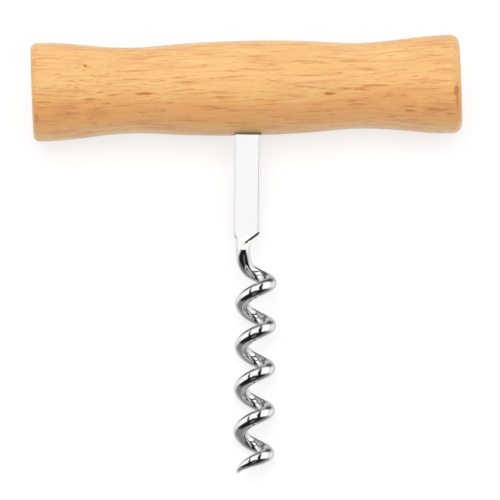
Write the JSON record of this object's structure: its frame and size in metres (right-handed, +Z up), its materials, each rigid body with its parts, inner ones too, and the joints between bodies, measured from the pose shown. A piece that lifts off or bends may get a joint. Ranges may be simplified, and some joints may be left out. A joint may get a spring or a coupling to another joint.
{
  "type": "t handle corkscrew",
  "caption": "Corkscrew lying at rest: a waisted turned wooden cross handle on a flat steel shank that runs into an open round-wire worm with a ground point.",
  "frame": {"origin": "on the table, under the middle of the lying corkscrew's footprint", "axes": "+X along the handle towards its right end, -Y from the handle towards the worm's point, +Z up from the table"},
  "size_m": [0.105, 0.1072, 0.0241],
  "materials": {
    "wood": "smooth sanded pale hardwood with a thin clear satin coat",
    "steel": "bright nickel-plated steel, mirror on the wire and softer on the flat shank"
  },
  "bodies": {
    "root": {"handle": "wood", "worm": "steel"}
  },
  "joints": []
}
